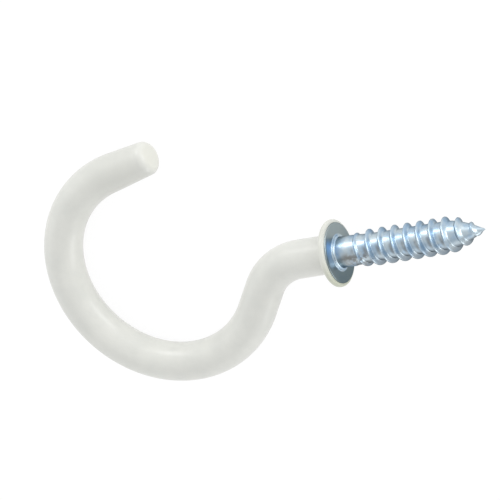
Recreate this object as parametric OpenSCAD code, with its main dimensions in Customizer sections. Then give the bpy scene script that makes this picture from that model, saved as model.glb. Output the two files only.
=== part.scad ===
// Vinyl-coated cup hook. A steel wire is headed to a collar, rolled to a coarse wood-screw
// thread and bent to an open round bowl. Everything behind the collar's face is then dipped
// in vinyl. The hook lies flat in the XY plane, with its screw along +X and its mouth on the
// +Y side. The origin is the middle of the collar's seating face. Millimetres and degrees.

/* [Wire and bends] */
// Diameter of the steel wire, and of the plain shank in front of the collar
wire_d = 3.5; // [3.1:0.1:4]
// Straight neck, from the seating face back to the first bend
neck_len = 5.2; // [4:0.1:10]
// Radius of the neck's bend, at the wire's middle
neck_r = 6.7; // [5:0.1:12]
// How far the neck turns away from the screw's line
neck_turn = 53; // [35:1:65]
// Straight wire between the neck's bend and the bowl
link_len = 3.2; // [1:0.1:8]
// Radius of the bowl, at the wire's middle
bowl_r = 12; // [9:0.1:20]
// How far the bowl turns back round
bowl_turn = 221; // [180:1:235]
// Straight wire past the bowl, up to the cut end
tip_len = 5.6; // [3:0.1:10]
// Bevel round the wire's cut end
cut_bevel = 0.4; // [0.1:0.05:0.6]

/* [Collar] */
// Diameter of the bare steel collar
collar_d = 6.9; // [6:0.1:9]
// Thickness of the bare steel collar
collar_t = 0.6; // [0.5:0.05:1.5]
// Rounding of the collar's two edges
collar_round = 0.12; // [0.05:0.01:0.2]
// Fillet between the seating face and the plain shank
seat_fillet = 0.35; // [0.1:0.05:0.5]
// Fillet between the collar's back and the neck
back_fillet = 0.25; // [0.1:0.05:0.5]

/* [Screw] */
// Length of the screw, from the seating face to its point
screw_len = 18.5; // [12:0.1:30]
// Plain shank, from the seating face to where the thread comes out of it
shank_len = 1.5; // [1:0.1:4]
// Diameter over the thread's crests
thread_d = 4.2; // [4:0.1:5]
// Diameter at the thread's root
root_d = 3.2; // [2.4:0.1:3.4]
// Distance from one crest to the next
pitch = 1.6; // [1.2:0.05:2.2]
// Width of the flat on a crest
crest_w = 0.14; // [0.1:0.02:0.3]
// Rounding of a crest's two edges
crest_round = 0.12; // [0.06:0.02:0.16]
// Width of the flat between two ridges
root_w = 0.7; // [0.3:0.05:0.9]
// Length over which the thread grows to its full height
run_in = 2.6; // [1:0.1:4]
// Length of the tapered point
point_len = 5; // [3:0.1:7]

/* [Coating] */
// Thickness of the vinyl round the neck and the bowl
coat_t = 0.45; // [0.3:0.05:0.8]
// Thickness of the vinyl round the wire beside its cut end, where it is thinner
tip_coat_t = 0.22; // [0.15:0.01:0.45]
// Thickness of the vinyl over the cut end
end_coat_t = 0.3; // [0.2:0.05:0.8]
// Rounding of the vinyl's end
tip_round = 0.9; // [0.5:0.1:1.1]
// Thickness of the vinyl round the collar's rim
rim_coat_t = 0.38; // [0.2:0.01:0.6]
// Thickness of the vinyl on the collar's back
back_coat_t = 0.25; // [0.15:0.01:0.6]
// Bare strip of rim, from the seating face back to the vinyl's lip
lip_gap = 0.15; // [0.12:0.01:0.3]
// Fillet of the vinyl between the neck and the collar's back
coat_fillet = 0.4; // [0.2:0.05:0.8]

/* [Hidden] */
$fn = 96;

wire_r = wire_d/2;
collar_r = collar_d/2;
coat_r = wire_r + coat_t;
tip_r = wire_r + tip_coat_t;
rim_r = collar_r + rim_coat_t;
coat_back = -collar_t - back_coat_t;
// Rounding of the vinyl round the rim: most of its thickness, or a full half round
rim_round = min(0.8*rim_coat_t, (-lip_gap - coat_back)/2);

// A straight is a hair thinner than the bends beside it and reaches a hair into them,
// so that each joint is one clean step and the wire is one solid.
joint_step = 0.02;
joint_lap = 0.05;

// The thread starts inside the plain shank, this much below its surface.
thread_sink = 0.03;
// Steps round one turn of the thread
turn_steps = 32;
// Where the first crest crosses the +Y side, counted from the seating face
first_crest = 0.95;

// Points of an arc in a profile, from one angle to another
function arc_points(middle, radius, from, to, steps = 6) =
    [for (i = [0:steps]) let(a = from + (to - from)*i/steps)
        middle + radius*[cos(a), sin(a)]];

// A bend of round wire in the XY plane, round the local origin
module bend(bend_r, from, turn, r) {
    rotate_extrude(angle = turn, start = from)
        translate([bend_r, 0])
            circle(r = r);
}

// The wire behind the neck's straight: neck bend, link and bowl. The child is the straight
// end, which stands on +Z at the bowl's last section.
module hook_path(r) {
    translate([-neck_len, -neck_r, 0]) {
        bend(neck_r, 90, neck_turn, r);
        rotate([0, 0, neck_turn])
            translate([0, neck_r, 0]) {
                rotate([0, -90, 0])
                    translate([0, 0, -joint_lap])
                        cylinder(r = r - joint_step, h = link_len + 2*joint_lap);
                translate([-link_len, bowl_r, 0]) {
                    bend(bowl_r, 270 - bowl_turn, bowl_turn, r);
                    rotate([0, 0, -bowl_turn])
                        translate([0, -bowl_r, 0])
                            rotate([0, -90, 0])
                                children();
                }
            }
    }
}

// The wire's straight end, with its bevelled cut
module wire_end() {
    r = wire_r - joint_step;
    rotate_extrude()
        polygon([
            [0, -joint_lap],
            [r, -joint_lap],
            [r, tip_len - cut_bevel],
            [r - cut_bevel, tip_len],
            [0, tip_len]
        ]);
}

// Neck, collar and plain shank, turned about the screw's axis
module neck_collar_shank() {
    r = wire_r - joint_step;
    rotate([0, 90, 0])
        rotate_extrude()
            polygon(concat(
                [[0, -neck_len - joint_lap], [r, -neck_len - joint_lap]],
                arc_points([r + back_fillet, -collar_t - back_fillet], back_fillet, 180, 90),
                arc_points([collar_r - collar_round, collar_round - collar_t], collar_round, -90, 0),
                arc_points([collar_r - collar_round, -collar_round], collar_round, 0, 90),
                arc_points([wire_r + seat_fillet, seat_fillet], seat_fillet, -90, -180),
                [[wire_r, shank_len], [0, shank_len]]
            ));
}

// The thread. One ridge section is carried along a helix, and its last point is its first
// point one turn later, so the core and the ridge are one closed skin. The ridge grows out
// of the plain shank, and ridge and core narrow together to the point. A section's points
// are [distance along the screw, height from 0 at the root to 1 at the crest].
ridge_h = (thread_d - root_d)/2;
flank_foot = (pitch - root_w)/2;
// How far each edge of a crest turns over its rounding, towards the flank
crest_turn = 60;
crest_edge = crest_w/2 + crest_round*sin(crest_turn);
edge_height = 1 - crest_round*(1 - cos(crest_turn))/ridge_h;
ridge = [
    [-flank_foot, 0],
    [-crest_edge, edge_height],
    [-crest_w/2, 1],
    [crest_w/2, 1],
    [crest_edge, edge_height],
    [flank_foot, 0]
];
ridge_points = len(ridge);
// The thread's last edge stops this far short of the point, which closes over it
point_stub = pitch/8;
last_edge_x = screw_len - point_stub;
last_step = floor(turn_steps*(last_edge_x - first_crest + flank_foot)/pitch) - turn_steps;

// How far the thread has grown, from 0 in the plain shank to 1
function growth(x) = min(1, max(0, (x - shank_len)/run_in));
// How far the point has narrowed, from 1 at its shoulder to 0 at its end
function narrowing(x) = sin(90*min(1, (screw_len - x)/point_len));
// Radius of the thread at x, for a height on the ridge
function thread_radius(x, height) =
    let(full = root_d/2 + height*ridge_h, plain = wire_r - thread_sink)
    narrowing(x)*(plain + growth(x)*(full - plain));

function thread_point(step, i) =
    let(
        x = first_crest + pitch*step/turn_steps + ridge[i][0],
        r = thread_radius(x, ridge[i][1]),
        a = 360*step/turn_steps
    )
    [x, r*cos(a), r*sin(a)];

// Index of a ridge's starting point. Past the last step only these points are left.
function edge_index(step) =
    step <= last_step ? step*ridge_points : last_step*(ridge_points - 1) + ridge_points - 1 + step;
function skin_index(step, i) =
    i < ridge_points ? step*ridge_points + i : edge_index(step + turn_steps);

module thread() {
    skin = [for (step = [0:last_step], i = [0:ridge_points - 1]) thread_point(step, i)];
    edge = [for (step = [last_step + 1:last_step + turn_steps]) thread_point(step, 0)];
    ends = [[first_crest, 0, 0], [screw_len, 0, 0]];
    root_end = len(skin) + len(edge);
    point_end = root_end + 1;
    polyhedron(
        points = concat(skin, edge, ends),
        faces = concat(
            [for (step = [0:last_step - 1], i = [0:ridge_points - 1])
                [skin_index(step, i), skin_index(step, i + 1), skin_index(step + 1, i + 1)]],
            [for (step = [0:last_step - 1], i = [0:ridge_points - 1])
                [skin_index(step, i), skin_index(step + 1, i + 1), skin_index(step + 1, i)]],
            [for (step = [0:turn_steps - 1])
                [root_end, edge_index(step), edge_index(step + 1)]],
            [for (i = [0:ridge_points - 1])
                [root_end, skin_index(0, i + 1), skin_index(0, i)]],
            [for (step = [last_step:last_step + turn_steps - 1])
                [point_end, edge_index(step + 1), edge_index(step)]],
            [for (i = [0:ridge_points - 1])
                [point_end, skin_index(last_step, i), skin_index(last_step, i + 1)]]
        )
    );
}

// The vinyl's outer form at the wire's end: it thins towards the cut and closes over it
module coat_end() {
    r = coat_r - joint_step;
    length = tip_len + end_coat_t;
    rotate_extrude()
        polygon(concat(
            [[0, -joint_lap], [r, -joint_lap], [r, 0]],
            arc_points([tip_r - tip_round, length - tip_round], tip_round, 0, 90),
            [[0, length]]
        ));
}

// The vinyl's outer form over the neck and the collar's back and rim
module coat_collar() {
    r = coat_r - joint_step;
    rotate([0, 90, 0])
        rotate_extrude()
            polygon(concat(
                [[0, -neck_len - joint_lap], [r, -neck_len - joint_lap]],
                arc_points([r + coat_fillet, coat_back - coat_fillet], coat_fillet, 180, 90),
                arc_points([rim_r - rim_round, coat_back + rim_round], rim_round, -90, 0),
                arc_points([rim_r - rim_round, -lip_gap - rim_round], rim_round, 0, 90),
                [[0, -lip_gap]]
            ));
}

module steel_hook() {
    color([0.72, 0.79, 0.83]) {
        neck_collar_shank();
        thread();
        hook_path(wire_r) wire_end();
    }
}

module vinyl_coating() {
    color([0.90, 0.90, 0.87])
        difference() {
            union() {
                coat_collar();
                hook_path(coat_r) coat_end();
            }
            neck_collar_shank();
            hook_path(wire_r) wire_end();
        }
}

steel_hook();
vinyl_coating();
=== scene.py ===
"""Vinyl-coated cup hook, lying as it comes to rest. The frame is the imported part's own: the
screw points along +X, the mouth opens on the +Y side, and the origin is the middle of the
collar's seating face. Lengths in this script are millimetres unless a name ends in _m."""

import bpy
import numpy as np
from mathutils import Matrix, Vector


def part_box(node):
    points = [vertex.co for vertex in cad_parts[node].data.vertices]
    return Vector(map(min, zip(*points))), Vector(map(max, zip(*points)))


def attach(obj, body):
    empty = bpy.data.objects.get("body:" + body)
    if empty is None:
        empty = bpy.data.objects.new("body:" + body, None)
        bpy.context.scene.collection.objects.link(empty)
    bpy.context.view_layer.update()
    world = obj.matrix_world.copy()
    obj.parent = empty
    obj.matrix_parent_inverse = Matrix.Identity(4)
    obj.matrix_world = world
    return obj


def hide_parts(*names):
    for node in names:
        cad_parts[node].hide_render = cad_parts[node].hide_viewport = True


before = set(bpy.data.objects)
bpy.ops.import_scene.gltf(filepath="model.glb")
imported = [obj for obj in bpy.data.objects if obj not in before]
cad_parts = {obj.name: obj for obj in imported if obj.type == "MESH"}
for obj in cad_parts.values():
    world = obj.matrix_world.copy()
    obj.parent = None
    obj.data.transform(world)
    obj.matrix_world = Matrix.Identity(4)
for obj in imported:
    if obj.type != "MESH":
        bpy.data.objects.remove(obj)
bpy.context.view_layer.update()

# ---------------------------------------------------------------------------
# The steel hook. One length of 3.5 mm wire, headed to a thin collar, rolled to a coarse
# right-hand wood-screw thread with a gimlet point, and bent cold behind the collar to a
# neck, a short link and an open bowl. The whole piece is then plated with bright zinc.

MM = 0.001
steel_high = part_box("steel_hook")[1]
wire_r = 1.75
neck_len = 5.2
neck_r, neck_turn = 6.7, 53
link_len = 3.2
bowl_r, bowl_turn = 12, 221
tip_len = 5.6
cut_bevel = 0.4

collar_r = steel_high.z / MM
collar_t = 0.6
collar_round = 0.12
back_fillet = 0.25
# The heading die leaves a low ring in the corner between the shank and the collar's face.
ring_h, ring_r = 0.15, 1.98
ring_round = 0.06
shank_fillet, ring_fillet = 0.16, 0.08

screw_len = steel_high.x / MM
shank_len = 1.5
thread_r, root_r = 2.1, 1.6
pitch = 1.6
first_crest = 0.95
crest_w, root_w = 0.12, 0.84
foot_ease = 0.02
# The ridge grows over its run-in, and its flanks start at a fifth of their full width.
run_in = 2.6
first_flank = 0.2
point_len = 5

# Each stretch of the wire's middle line: its length, and how far it turns to the left
neck_arc = neck_r * np.radians(neck_turn)
bowl_arc = bowl_r * np.radians(bowl_turn)
wire_route = [
    (neck_len, 0),
    (neck_arc, neck_turn),
    (link_len, 0),
    (bowl_arc, -bowl_turn),
    (tip_len, 0),
]
wire_len = sum(length for length, turn in wire_route)


def along_wire(s):
    """Points and left-hand normals of the wire's middle line, s mm behind the seating face.

    The heading starts along -X and turns evenly over each stretch. Integrating it gives, for
    a stretch of length L that turns by w from heading h, the step s * sinc(w s / 2L) in the
    direction h + w s / 2L, which is a straight line where w is 0. In front of the seating
    face s is negative, and the line runs straight on along +X."""
    start, heading = np.zeros(2), np.pi
    point = np.stack([-s, np.zeros_like(s)], 1)
    angle = np.full_like(s, heading)
    begun = 0.0
    for length, turn in wire_route:
        w = np.radians(turn)
        beyond = s > begun
        part = np.clip((s - begun) / length, 0, 1)[beyond]
        half = w * part / 2
        step = length * part * np.sinc(half / np.pi)
        way = np.stack([np.cos(heading + half), np.sin(heading + half)], 1)
        point[beyond] = start + step[:, None] * way
        angle[beyond] = heading + w * part
        chord = length * np.sinc(w / 2 / np.pi)
        start = start + chord * np.array([np.cos(heading + w / 2), np.sin(heading + w / 2)])
        heading += w
        begun += length
    past_end = np.maximum(s - begun, 0)[:, None]
    point += past_end * np.array([np.cos(heading), np.sin(heading)])
    middle = np.column_stack([point, np.zeros_like(s)])
    left = np.column_stack([-np.sin(angle), np.cos(angle), np.zeros_like(s)])
    return middle, left


def skin_along_wire(name, s, radius, sides):
    """A closed skin round the wire's middle line, as a mesh object.

    Ring i stands square to the line at s[i]. Its point at angle a is
    middle(s) + radius[i, a] * (left(s) * cos a + up * sin a), and the first and last rings
    close to one point each, which lies on the line."""
    middle, left = along_wire(s)
    a = np.linspace(0, 2 * np.pi, sides, endpoint=False)
    across = (radius * np.cos(a))[:, :, None] * left[:, None, :]
    up = (radius * np.sin(a))[:, :, None] * np.array([0, 0, 1.0])
    rings = middle[:, None, :] + across + up
    count = len(s)
    points = np.concatenate([rings.reshape(-1, 3), middle[:1], middle[-1:]]) * MM
    ring = np.arange(count - 1)[:, None] * sides
    j = np.arange(sides)
    k = (j + 1) % sides
    quads = np.stack([ring + j, ring + k, ring + sides + k, ring + sides + j], -1).reshape(-1, 4)
    last_ring = (count - 1) * sides
    first_fan = np.stack([np.full(sides, count * sides), k, j], 1)
    last_fan = np.stack([np.full(sides, count * sides + 1), last_ring + j, last_ring + k], 1)
    fans = np.concatenate([first_fan, last_fan])
    corners = np.concatenate([quads.ravel(), fans.ravel()])
    sizes = np.concatenate([np.full(len(quads), 4), np.full(len(fans), 3)])
    mesh = bpy.data.meshes.new(name)
    mesh.vertices.add(len(points))
    mesh.vertices.foreach_set("co", points.ravel())
    mesh.loops.add(len(corners))
    mesh.loops.foreach_set("vertex_index", corners)
    mesh.polygons.add(len(sizes))
    mesh.polygons.foreach_set("loop_start", np.concatenate([[0], np.cumsum(sizes)[:-1]]))
    mesh.polygons.foreach_set("use_smooth", np.ones(len(sizes), bool))
    mesh.update(calc_edges=True)
    mesh.validate()
    piece = bpy.data.objects.new(name, mesh)
    bpy.context.scene.collection.objects.link(piece)
    return piece


def corner(s, r, radius, turn_from, turn_to, steps=7):
    """A rounded corner of a profile, from one turn to another in degrees.

    Its points are [s + radius * cos a, r + radius * sin a], an arc round [s, r]."""
    a = np.radians(np.linspace(turn_from, turn_to, steps))
    return np.column_stack([s + radius * np.cos(a), r + radius * np.sin(a)])


def spread(profile, spacing, support=0.01):
    """The profile with its straight runs filled in.

    Each run longer than three supports gets a point close to both of its ends, which keeps
    the shading of rounded corners off the flats, and even steps of about the spacing."""
    filled = [profile[:1]]
    for p, q in zip(profile[:-1], profile[1:]):
        gap = np.hypot(*(q - p))
        if gap > 3 * support:
            steps = max(1, round((gap - 2 * support) / spacing))
            t = np.linspace(support / gap, 1 - support / gap, steps + 1)
            filled.append(p + t[:, None] * (q - p))
        filled.append(q[None])
    return np.concatenate(filled)


def thread_radius(x, a):
    """Radius of the screw at x in front of the seating face and at angle a, a right-hand thread.

    The crests move on by one pitch for each turn, and rise is 1 on the nearest crest and
    falls in a straight line to 0 at the foot of its flank. The ridge's height is
    sqrt(rise^2 + foot_ease), scaled to run from 0 to 1, which eases the foot. Height and
    flank grow out of the plain shank, and the whole narrows as a quarter sine to the point."""
    phase = (x - first_crest - pitch * a / (2 * np.pi)) / pitch
    from_crest = np.abs(phase - np.round(phase)) * pitch
    grown = np.clip((x - shank_len) / run_in, 0, 1)
    crest = crest_w / 2
    flank = ((pitch - root_w) / 2 - crest) * (first_flank + (1 - first_flank) * grown)
    rise = np.clip(1 - (from_crest - crest) / flank, 0, 1)
    lowest, highest = np.sqrt(foot_ease), np.sqrt(1 + foot_ease)
    ridge = (np.sqrt(rise**2 + foot_ease) - lowest) / (highest - lowest)
    full = root_r + (thread_r - root_r) * ridge
    narrowed = np.sin(np.pi / 2 * np.clip((screw_len - x) / point_len, 0, 1))
    return narrowed * (wire_r + grown * (full - wire_r))


steel_sides = 120
thread_step = 0.04
plain_step = 0.5
thread_x = np.arange(screw_len - thread_step / 2, shank_len, -thread_step)
# In front of the seating face the wire's left is -Y, so a ring's points start from there.
ring_angle = np.pi - np.linspace(0, 2 * np.pi, steel_sides, endpoint=False)
thread_part = thread_radius(thread_x[:, None], ring_angle[None, :])
behind_thread = np.concatenate([
    [[-shank_len, wire_r]],
    corner(-ring_h - shank_fillet, wire_r + shank_fillet, shank_fillet, -90, 0),
    corner(-ring_h + ring_round, ring_r - ring_round, ring_round, 180, 90),
    corner(-ring_fillet, ring_r + ring_fillet, ring_fillet, -90, 0),
    corner(collar_round, collar_r - collar_round, collar_round, 180, 90),
    corner(collar_t - collar_round, collar_r - collar_round, collar_round, 90, 0),
    corner(collar_t + back_fillet, wire_r + back_fillet, back_fillet, 180, 270),
    [[wire_len - cut_bevel, wire_r]],
    [[wire_len, wire_r - cut_bevel]],
])
behind_thread = spread(behind_thread, plain_step)
plain_part = np.repeat(behind_thread[:, 1:], steel_sides, 1)
steel = skin_along_wire(
    "zinc_plated_steel",
    np.concatenate([-thread_x, behind_thread[:, 0]]),
    np.concatenate([thread_part, plain_part]),
    steel_sides,
)
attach(steel, "root")
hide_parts("steel_hook")


def add_node(tree, kind, inputs=None, **settings):
    """A node with its settings made and its inputs set, or linked where a socket is given."""
    made = tree.nodes.new(kind)
    for key, value in settings.items():
        setattr(made, key, value)
    for key, value in (inputs or {}).items():
        if isinstance(value, bpy.types.NodeSocket):
            tree.links.new(value, made.inputs[key])
        else:
            made.inputs[key].default_value = value
    return made


def calc(tree, operation, *values):
    """The result of a Math node on numbers or sockets. Further values are chained on."""
    result = values[0]
    for value in values[1:] or [0.0]:
        inputs = {0: result, 1: value}
        result = add_node(tree, "ShaderNodeMath", inputs, operation=operation).outputs[0]
    return result


def ramp(tree, value, low, high, at_low=0.0, at_high=1.0):
    """value from low to high, eased to a number from at_low to at_high."""
    made = add_node(
        tree, "ShaderNodeMapRange",
        {"Value": value, "From Min": low, "From Max": high, "To Min": at_low, "To Max": at_high},
        interpolation_type="SMOOTHSTEP",
    )
    return made.outputs["Result"]


def fade(tree, value, low, high, at_low=1.0):
    """value from low to high, eased to a number from at_low down to 0."""
    return ramp(tree, value, low, high, at_low, 0.0)


def noise(tree, where, per_mm, detail=3.0, roughness=0.5):
    """Noise of about that many lumps to a millimetre, from 0 to 1."""
    inputs = {"Vector": where, "Scale": per_mm, "Detail": detail, "Roughness": roughness}
    return add_node(tree, "ShaderNodeTexNoise", inputs).outputs["Fac"]


def distance_to(tree, where, point):
    """How far, in mm, the surface is from a point."""
    made = add_node(tree, "ShaderNodeVectorMath", {0: where, 1: point}, operation="DISTANCE")
    return made.outputs["Value"]


def blend(tree, share, first, second):
    """A colour between two, which are numbers or sockets, with that share of the second."""
    made = add_node(tree, "ShaderNodeMix", {"Factor": share}, data_type="RGBA")
    for key, value in (("A", first), ("B", second)):
        socket = [x for x in made.inputs if x.name == key and x.type == "RGBA"][0]
        if isinstance(value, bpy.types.NodeSocket):
            tree.links.new(value, socket)
        else:
            socket.default_value = (*value, 1)
    return [x for x in made.outputs if x.type == "RGBA"][0]


def new_material(name):
    """A new material: itself, its node tree, its Principled shader and a place in mm."""
    made = bpy.data.materials.new(name)
    made.use_nodes = True
    tree = made.node_tree
    tree.nodes.clear()
    shader = add_node(tree, "ShaderNodeBsdfPrincipled")
    add_node(tree, "ShaderNodeOutputMaterial", {"Surface": shader.outputs["BSDF"]})
    place = add_node(tree, "ShaderNodeTexCoord").outputs["Object"]
    in_mm = add_node(tree, "ShaderNodeVectorMath", {0: place, "Scale": 1 / MM}, operation="SCALE")
    return made, tree, shader, in_mm.outputs["Vector"]


def new_group(name, inputs, outputs):
    """A new node group: itself, what comes in and what goes out, by name."""
    made = bpy.data.node_groups.new(name, "ShaderNodeTree")
    for in_out, sockets in (("INPUT", inputs), ("OUTPUT", outputs)):
        for key, kind in sockets.items():
            made.interface.new_socket(key, in_out=in_out, socket_type="NodeSocket" + kind)
    return made, made.nodes.new("NodeGroupInput").outputs, made.nodes.new("NodeGroupOutput").inputs


# Both finishes change along the screw's axis and outwards from it. This group gives a place's
# X along the axis, its Y and Z square to the axis, and how far off the axis it is.
about_axis, given, result = new_group(
    "about_axis",
    {"Place": "Vector"},
    {"X": "Float", "Y": "Float", "Z": "Float", "Off axis": "Float"},
)
parts = add_node(about_axis, "ShaderNodeSeparateXYZ", {0: given["Place"]}).outputs
across = add_node(about_axis, "ShaderNodeCombineXYZ", {1: parts["Y"], 2: parts["Z"]}).outputs[0]
off_axis = distance_to(about_axis, across, (0, 0, 0))
for key in "XYZ":
    about_axis.links.new(parts[key], result[key])
about_axis.links.new(off_axis, result["Off axis"])

# Neither the drawn wire nor the dipped skin is quite even: both have shallow soft dents.
dent_strength = 0.15
soft_dents, given, result = new_group(
    "soft_dents",
    {"Place": "Vector", "Dents per mm": "Float", "Fine relief": "Float", "Depth": "Float"},
    {"Normal": "Vector"},
)
dents = noise(soft_dents, given["Place"], given["Dents per mm"], detail=2.0)
relief = calc(soft_dents, "ADD", dents, given["Fine relief"])
inputs = {"Strength": dent_strength, "Distance": given["Depth"], "Height": relief}
bump = add_node(soft_dents, "ShaderNodeBump", inputs)
soft_dents.links.new(bump.outputs["Normal"], result["Normal"])

zinc, tree, shader, place = new_material("bright_zinc_plate")
axis = add_node(tree, "ShaderNodeGroup", {"Place": place}, node_tree=about_axis)
x, y, z, from_axis = axis.outputs
# How far a place faces +Y or +Z, from -1 to 1, as seen along the axis
y_side = calc(tree, "DIVIDE", y, from_axis)
z_side = calc(tree, "DIVIDE", z, from_axis)

# The plating is bluer where it is thick, in soft clouds; the thread's flanks are bluer still and
# darker towards the root, which is painted shade.
pale_zinc, blue_zinc = (0.575, 0.670, 0.725), (0.410, 0.550, 0.690)
flank_shade_blue = (0.30, 0.45, 0.63)
cloud_edge = (0.35, 0.68)
thread_begins = (shank_len, shank_len + 1.2)
point_begins = (screw_len - point_len, screw_len - 3.5)
flank_foot = (root_r + 0.06, root_r + 0.25)
flank_top = (thread_r - 0.20, thread_r - 0.04)
flank_shade_share, crest_shade_share = 0.45, 0.1
cloud = ramp(tree, noise(tree, place, per_mm=0.9, detail=2.0), *cloud_edge)
colour = blend(tree, cloud, pale_zinc, blue_zinc)
in_thread = calc(
    tree, "MULTIPLY",
    ramp(tree, x, *thread_begins),
    fade(tree, x, *point_begins),
)
# The flanks' painted shade: darker blue from the crest down to the root.
flank_shade = calc(
    tree, "MULTIPLY",
    ramp(tree, from_axis, *flank_foot),
    ramp(tree, from_axis, *flank_top, flank_shade_share, crest_shade_share),
)
colour = blend(tree, calc(tree, "MULTIPLY", flank_shade, in_thread), colour, flank_shade_blue)

# Rolling leaves dark drawing dirt in the thread's root, and there is painted shade there too, most
# of it on the upper side and close under the ridge in front. The limits of this dirt and painted
# shade are shares of the pitch, from crest to crest.
root_dirt_and_shade_colour = (0.19, 0.18, 0.16)
dirt_and_shade_from, dirt_and_shade_to = (0.42, 0.66), (0.72, 0.84)
top_side = (0.82, 0.98)
dirt_and_shade_below, dirt_and_shade_on_top = 0.2, 0.75
spot_edge, spot_shares = (0.3, 0.6), (0.3, 0.85)
round_axis = calc(tree, "ARCTAN2", z, y)
moved_on = calc(tree, "MULTIPLY", round_axis, pitch / 2 / np.pi)
turns = calc(tree, "SUBTRACT", x, first_crest, moved_on)
across_root = calc(tree, "FRACT", calc(tree, "DIVIDE", turns, pitch))
under_ridge = calc(
    tree, "MULTIPLY",
    ramp(tree, across_root, *dirt_and_shade_from),
    fade(tree, across_root, *dirt_and_shade_to),
)
topmost = ramp(tree, z_side, *top_side, dirt_and_shade_below, dirt_and_shade_on_top)
spots = ramp(tree, noise(tree, place, per_mm=0.9, detail=2.0), *spot_edge, *spot_shares)
root_dirt_and_shade = calc(tree, "MULTIPLY", under_ridge, topmost, in_thread, spots)
colour = blend(tree, root_dirt_and_shade, colour, root_dirt_and_shade_colour)

# The thread's first turns, where the rolling dies took hold, hold dirt in specks on their
# -Y side.
speck_dirt = (0.20, 0.19, 0.18)
speck_edge, speck_share = (0.48, 0.60), 0.75
specks_begin = (shank_len, shank_len + 0.4)
specks_end = (shank_len + 2.0, shank_len + 4.0)
speck_side = (-0.2, 0.3)
specks = calc(
    tree, "MULTIPLY",
    ramp(tree, noise(tree, place, per_mm=2.2, detail=2.0), *speck_edge, 0.0, speck_share),
    ramp(tree, x, *specks_begin),
    fade(tree, x, *specks_end),
    fade(tree, y_side, *speck_side),
)
colour = blend(tree, specks, colour, speck_dirt)

# The -Y side of the thread is greyer: painted shade, a painted dark reflection on that side.
underside_painted_grey = (0.26, 0.29, 0.31)
underside_shade_share = 0.75
underside_shade_span = (-0.75, -0.25)
underside_painted_shade = calc(
    tree, "MULTIPLY",
    fade(tree, y_side, *underside_shade_span, underside_shade_share),
    ramp(tree, x, *thread_begins),
)
colour = blend(tree, underside_painted_shade, colour, underside_painted_grey)

# A brown patch on the shank is partly a stain and partly painted shade, a painted dark reflection.
stain_and_shade_brown = (0.25, 0.24, 0.22)
stain_and_shade_middle = (1.50, -0.48, 1.68)
stain_and_shade_reach = (0.3, 1.25)
stain_and_shade_share = 0.88
patch_edge, patch_shares = (0.35, 0.65), (0.5, 1.0)
stain_and_shade = calc(
    tree, "MULTIPLY",
    fade(tree, distance_to(tree, place, stain_and_shade_middle), *stain_and_shade_reach, stain_and_shade_share),
    ramp(tree, noise(tree, place, per_mm=1.4), *patch_edge, *patch_shares),
)
colour = blend(tree, stain_and_shade, colour, stain_and_shade_brown)

# The collar's face is painted dark, a painted dark reflection that is paler towards +Y, and it has
# a painted bright blue reflection on one side.
face_dark_reflection, face_pale_reflection = (0.13, 0.17, 0.18), (0.34, 0.39, 0.39)
face_bright_reflection, face_blue_reflection = (0.56, 0.70, 0.84), (0.32, 0.50, 0.76)
face_share = 0.9
face_front = (0.02, 0.10)
past_ring = (2.05, 2.2)
face_across, bright_reflection_across = (-3.0, 3.0), (-0.3, 1.3)
bright_reflection_middle = (0.0, 0.95, 2.50)
bright_reflection_reach = (0.85, 1.95)
bright_reflection_edge = (collar_r - 0.45, collar_r - 0.15)
on_face = calc(
    tree, "MULTIPLY",
    fade(tree, x, *face_front),
    ramp(tree, from_axis, *past_ring, 0.0, face_share),
)
face_reflection_tone = blend(tree, ramp(tree, y, *face_across), face_dark_reflection, face_pale_reflection)
painted_reflection_side = calc(
    tree, "MULTIPLY",
    fade(tree, distance_to(tree, place, bright_reflection_middle), *bright_reflection_reach),
    fade(tree, from_axis, *bright_reflection_edge),
)
bright_reflection_tone = blend(tree, ramp(tree, y, *bright_reflection_across), face_bright_reflection, face_blue_reflection)
face_reflection_tone = blend(tree, painted_reflection_side, face_reflection_tone, bright_reflection_tone)
colour = blend(tree, on_face, colour, face_reflection_tone)
tree.links.new(colour, shader.inputs["Base Color"])

# The plate is bright but finely grained, and the wire under it has soft dents.
zinc_gloss, zinc_dull = 0.28, 0.37
grain_span, grain_height = (0.2, 0.8), 0.15
grain = noise(tree, place, per_mm=9.0, detail=4.0, roughness=0.6)
grain_gloss = ramp(tree, grain, *grain_span, zinc_gloss, zinc_dull)
tree.links.new(grain_gloss, shader.inputs["Roughness"])
shader.inputs["Metallic"].default_value = 1.0
# Where it is seen at a slant it stays dark.
slant_tint = (0.28, 0.29, 0.30, 1)
shader.inputs["Specular Tint"].default_value = slant_tint
wire_dents_per_mm, wire_dent_depth = 1.6, 0.08
inputs = {
    "Place": place,
    "Dents per mm": wire_dents_per_mm,
    "Fine relief": calc(tree, "MULTIPLY", grain, grain_height),
    "Depth": wire_dent_depth * MM,
}
dented = add_node(tree, "ShaderNodeGroup", inputs, node_tree=soft_dents)
tree.links.new(dented.outputs["Normal"], shader.inputs["Normal"])
steel.data.materials.append(zinc)

# ---------------------------------------------------------------------------
# The vinyl coating. The hook is dipped, collar first, up to the collar's face, and the vinyl
# sets to one soft glossy skin over the wire. It is thinner towards the cut end, closes over
# it, and ends in a lip round the bare face.

vinyl_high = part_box("vinyl_coating")[1]
coat_t = 0.45
tip_coat_t = 0.22
end_coat_t = 0.3
tip_round = 0.9
rim_r = vinyl_high.z / MM
back_coat_t = 0.25
lip_gap = 0.15
lip_seam = 0.01
rim_share = 0.8
coat_fillet = 0.4

coat_r = wire_r + coat_t
tip_r = wire_r + tip_coat_t
coat_len = wire_len + end_coat_t
coat_back = collar_t + back_coat_t
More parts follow.
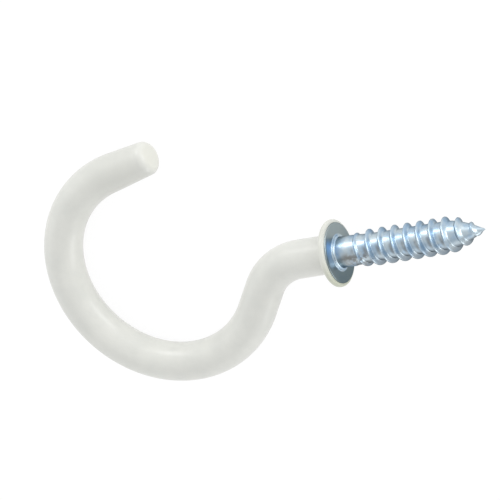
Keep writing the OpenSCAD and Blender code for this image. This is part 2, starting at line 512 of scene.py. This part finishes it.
# The lip is rounded as far as its wall round the collar's edge and its length allow.
rim_round = min(rim_share * (rim_r - collar_r), (coat_back - lip_gap) / 2)
inside = np.concatenate([
    [[wire_len, wire_r - cut_bevel]],
    [[wire_len - cut_bevel, wire_r]],
    corner(collar_t + back_fillet, wire_r + back_fillet, back_fillet, 270, 180),
    corner(collar_t - collar_round, collar_r - collar_round, collar_round, 0, 90),
    [[lip_gap, collar_r]],
])
outside = np.concatenate([
    [[lip_gap, collar_r + lip_seam]],
    corner(lip_gap + rim_round, rim_r - rim_round, rim_round, 180, 90),
    corner(coat_back - rim_round, rim_r - rim_round, rim_round, 90, 0),
    corner(coat_back + coat_fillet, coat_r + coat_fillet, coat_fillet, 180, 270),
    [[wire_len - tip_len, coat_r]],
    corner(coat_len - tip_round, tip_r - tip_round, tip_round, 90, 4, steps=12),
])
inside_step, outside_step = 0.6, 0.3
profile = np.concatenate([spread(inside, inside_step), spread(outside, outside_step)])
coat_sides = 96
vinyl = skin_along_wire(
    "vinyl_skin",
    profile[:, 0],
    np.repeat(profile[:, 1:], coat_sides, 1),
    coat_sides,
)
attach(vinyl, "root")
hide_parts("vinyl_coating")

# The vinyl is off-white and a little mottled.
plastic, tree, shader, place = new_material("dipped_vinyl")
pale_vinyl, grey_vinyl = (0.693, 0.692, 0.648), (0.651, 0.653, 0.613)
mottle_edge = (0.3, 0.7)
mottle = ramp(tree, noise(tree, place, per_mm=0.35, detail=4.0, roughness=0.6), *mottle_edge)
colour = blend(tree, mottle, pale_vinyl, grey_vinyl)

# The thin vinyl beside the cut end is greyer, and the drop that closed over it is creamier.
thin_grey = (0.602, 0.602, 0.557)
end_cream = (0.697, 0.694, 0.633)
thin_share = 0.5
end_drop = (1.2, 2.0)
thin_from, thin_to = (1.6, 2.8), (5.0, 11.0)
end_middle = tuple(along_wire(np.array([coat_len]))[0][0])
from_end = distance_to(tree, place, end_middle)
thin = calc(
    tree, "MULTIPLY",
    ramp(tree, from_end, *thin_from),
    fade(tree, from_end, *thin_to, thin_share),
)
colour = blend(tree, thin, colour, thin_grey)
colour = blend(tree, fade(tree, from_end, *end_drop), colour, end_cream)

# The lip is yellower and darker on its -Y side: partly yellowed vinyl, partly painted shade.
lip_yellow_and_shade_colour = (0.49, 0.51, 0.40)
lip_shade_below, lip_shade_above = 0.92, 0.20
lip_front = (-1.2, -0.3)
lip_edge = (rim_r - 0.7, rim_r - 0.3)
lip_across = (-2.4, 1.2)
axis = add_node(tree, "ShaderNodeGroup", {"Place": place}, node_tree=about_axis)
lip_yellow_and_shade = calc(
    tree, "MULTIPLY",
    ramp(tree, axis.outputs["X"], *lip_front),
    ramp(tree, axis.outputs["Off axis"], *lip_edge),
    ramp(tree, axis.outputs["Y"], *lip_across, lip_shade_below, lip_shade_above),
)
colour = blend(tree, lip_yellow_and_shade, colour, lip_yellow_and_shade_colour)
tree.links.new(colour, shader.inputs["Base Color"])

# It is a semi-gloss plastic, a little worn in places, and not quite even.
vinyl_gloss, vinyl_worn = 0.28, 0.33
worn_edge = (0.3, 0.7)
worn = ramp(tree, noise(tree, place, per_mm=1.3), *worn_edge, vinyl_gloss, vinyl_worn)
tree.links.new(worn, shader.inputs["Roughness"])
shader.inputs["IOR"].default_value = 1.5
skin_dents_per_mm, skin_dent_depth = 1.1, 0.08
inputs = {"Place": place, "Dents per mm": skin_dents_per_mm, "Depth": skin_dent_depth * MM}
dented = add_node(tree, "ShaderNodeGroup", inputs, node_tree=soft_dents)
tree.links.new(dented.outputs["Normal"], shader.inputs["Normal"])
vinyl.data.materials.append(plastic)

# ---------------------------------------------------------------------------
# The floor. The hook lies on its collar's rim and on the far side of its bowl, so the floor
# leans a little from the hook's own plane. It is plain and pale.

bowl_middle = along_wire(np.array([neck_len + neck_arc + link_len]))
bowl_centre = (bowl_middle[0] - bowl_r * bowl_middle[1])[0]
collar_point = np.array([-(lip_gap + coat_back) / 2, 0, 0])
lie = bowl_centre - collar_point
lie_len = np.hypot(*lie[:2])
lie = lie / lie_len
lean = np.arcsin((rim_r - coat_r) / (lie_len + bowl_r))
floor_up = np.array([-lie[0] * np.sin(lean), -lie[1] * np.sin(lean), np.cos(lean)])
skins = np.empty(len(vinyl.data.vertices) * 3)
vinyl.data.vertices.foreach_get("co", skins)
floor_level = (skins.reshape(-1, 3) @ floor_up).min()
floor_side = np.cross([0, 1.0, 0], floor_up)
floor_side /= np.linalg.norm(floor_side)
floor_along = np.cross(floor_up, floor_side)
reach_m = 1.5
floor_points = [
    floor_up * floor_level + reach_m * (u * floor_side + v * floor_along)
    for u, v in [(-1, -1), (1, -1), (1, 1), (-1, 1)]
]
floor_mesh = bpy.data.meshes.new("floor")
floor_mesh.from_pydata([tuple(p) for p in floor_points], [], [(0, 1, 2, 3)])
floor = bpy.data.objects.new("floor", floor_mesh)
bpy.context.scene.collection.objects.link(floor)

# Matt paper, which is seen as white, directly and in the zinc, but for the hook's faint shadow.
paper, tree, shader = new_material("white_paper")[:3]
paper_white = (0.88, 0.88, 0.88, 1)
shader.inputs["Base Color"].default_value = paper_white
shader.inputs["Roughness"].default_value = 0.9
shader.inputs["Specular IOR Level"].default_value = 0.1
seen_white, white_share = 1.06, 0.86
white = add_node(tree, "ShaderNodeEmission", {"Color": (1, 1, 1, 1), "Strength": seen_white})
ray = add_node(tree, "ShaderNodeLightPath").outputs
seen = calc(
    tree, "MAXIMUM",
    ray["Is Camera Ray"],
    ray["Is Glossy Ray"],
    ray["Is Transmission Ray"],
)
inputs = {
    0: calc(tree, "MULTIPLY", seen, white_share),
    1: shader.outputs["BSDF"],
    2: white.outputs[0],
}
mixed = add_node(tree, "ShaderNodeMixShader", inputs)
output = [n for n in tree.nodes if n.type == "OUTPUT_MATERIAL"][0]
tree.links.new(mixed.outputs[0], output.inputs["Surface"])
floor_mesh.materials.append(paper)

# ---------------------------------------------------------------------------
# The studio: white walls all round under a dimmer ceiling, with a dim patch overhead and one
# low beyond the point, and soft boxes behind the mouth, beyond the point and beside the bowl.

world = bpy.data.worlds.new("studio")
bpy.context.scene.world = world
world.use_nodes = True
tree = world.node_tree
tree.nodes.clear()


def dim_patch(tree, way, middle, edge, core, level):
    """A round patch of the studio: 1 outside its edge, eased to its level inside its core.

    Edge and core are angles from its middle in degrees, and are compared by their cosines."""
    inputs = {0: way, 1: middle}
    made = add_node(tree, "ShaderNodeVectorMath", inputs, operation="DOT_PRODUCT")
    limits = np.cos(np.radians([edge, core]))
    return ramp(tree, made.outputs["Value"], *limits, 1.0, level)


# Directions are squeezed along X before the patch overhead, which makes it a long one.
squeeze = (0.3, 1, 1)
ceiling_edge = (0.42, 0.82)
wall_level, ceiling_level = 1.29, 0.77
studio_white = (0.98, 0.99, 1.0, 1)
way = add_node(tree, "ShaderNodeTexCoord").outputs["Generated"]
squeezed = add_node(tree, "ShaderNodeVectorMath", {0: way, 1: squeeze}, operation="MULTIPLY")
inputs = {0: squeezed.outputs["Vector"]}
squeezed = add_node(tree, "ShaderNodeVectorMath", inputs, operation="NORMALIZE")
overhead = dim_patch(
    tree, squeezed.outputs["Vector"],
    middle=(0.0, -0.68, 0.73), edge=38, core=14, level=0.82,
)
low_patch = dim_patch(tree, way, middle=(0.92, -0.38, 0.05), edge=33, core=13, level=0.25)
height = add_node(tree, "ShaderNodeSeparateXYZ", {0: way}).outputs["Z"]
walls = ramp(tree, height, *ceiling_edge, wall_level, ceiling_level)
level = calc(tree, "MULTIPLY", walls, overhead, low_patch)
sky = add_node(tree, "ShaderNodeBackground", {"Color": studio_white, "Strength": level})
add_node(tree, "ShaderNodeOutputWorld", {"Surface": sky.outputs[0]})

hook_middle_m = np.array([-0.010817, 0.001998, -0.000027])
lamp_away_m = 0.6


def soft_box(name, towards, width_m, height_m, watts):
    """A flat lamp away from the hook's middle in the direction towards, and facing it."""
    lamp = bpy.data.lights.new(name, "AREA")
    lamp.shape = "RECTANGLE"
    lamp.size, lamp.size_y = width_m, height_m
    lamp.energy = watts
    stand = bpy.data.objects.new(name, lamp)
    bpy.context.scene.collection.objects.link(stand)
    way = np.array(towards, float)
    way /= np.linalg.norm(way)
    stand.location = hook_middle_m + way * lamp_away_m
    stand.rotation_mode = "QUATERNION"
    stand.rotation_quaternion = Vector(way).to_track_quat("Z", "Y")


soft_box("mouth_side", towards=(-0.25, 0.92, 0.31), width_m=0.26, height_m=0.13, watts=0.58)
soft_box("point_side", towards=(0.92, 0.40, 0.10), width_m=0.36, height_m=0.18, watts=0.85)
soft_box("bowl_side", towards=(0.63, -0.75, 0.20), width_m=0.40, height_m=0.20, watts=0.60)

# The camera looks down on the hook from beyond its point, through a long lens.
camera = bpy.data.cameras.new("camera")
camera.lens = 1200
camera.sensor_width = 36
camera.clip_start, camera.clip_end = 0.1, 10
eye = bpy.data.objects.new("camera", camera)
bpy.context.scene.collection.objects.link(eye)
azimuth, elevation, roll = np.radians([123.60, 55.57, -138.02])
distance_m = 1.8611
back = np.array([
    np.sin(azimuth) * np.cos(elevation),
    -np.cos(azimuth) * np.cos(elevation),
    np.sin(elevation),
])
level_right = np.array([np.cos(azimuth), np.sin(azimuth), 0])
level_up = np.cross(back, level_right)
right = level_right * np.cos(roll) + level_up * np.sin(roll)
up = np.cross(back, right)
to_world = np.eye(4)
to_world[:3] = np.column_stack([right, up, back, hook_middle_m + back * distance_m])
eye.matrix_world = Matrix(to_world.tolist())
bpy.context.scene.camera = eye
bpy.context.scene.view_settings.view_transform = "Standard"
